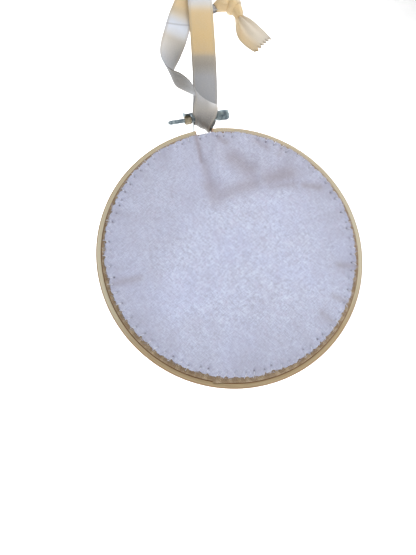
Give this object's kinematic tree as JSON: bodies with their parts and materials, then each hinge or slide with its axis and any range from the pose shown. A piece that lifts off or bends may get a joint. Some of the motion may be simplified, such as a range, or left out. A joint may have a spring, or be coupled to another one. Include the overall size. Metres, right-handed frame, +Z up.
{
  "type": "embroidery hoop with cloth",
  "caption": "Finished hoop embroidery seen from its felt-backed side: wooden clamp hoop, taut cloth, felt backing, screw clamp, and a tied ribbon to hang it by.",
  "frame": {"origin": "the point the part hangs from: the middle of the underside of the ribbon's top bend", "axes": "+Z up, +Y towards the front of the hoop where the embroidered face is, -Y towards the felt side, +X to the right when the felt side is looked at"},
  "size_m": [0.161, 0.0283, 0.2698],
  "materials": {
    "bamboo": "sanded, clear coated",
    "inner_bamboo": "sanded",
    "cotton_cloth": "plain woven cotton",
    "felt": "soft craft felt",
    "zinc": "zinc plated",
    "brass": "dull brass plated",
    "grosgrain": "ribbed grosgrain"
  },
  "bodies": {
    "hoop": {"outer_hoop": "bamboo", "inner_hoop": "inner_bamboo", "cloth": "cotton_cloth", "felt_backing": "felt", "bracket_left": "zinc", "bracket_right": "zinc", "nut": "brass", "ribbon": "grosgrain"},
    "screw": {"thumb_screw": "zinc"}
  },
  "joints": [
    {"name": "screw_turn", "type": "hinge", "parent": "hoop", "child": "screw", "pos_m": [-0.00859, 0, -0.09418], "axis": [0.9955, 0, 0.0946], "continuous": true}
  ]
}
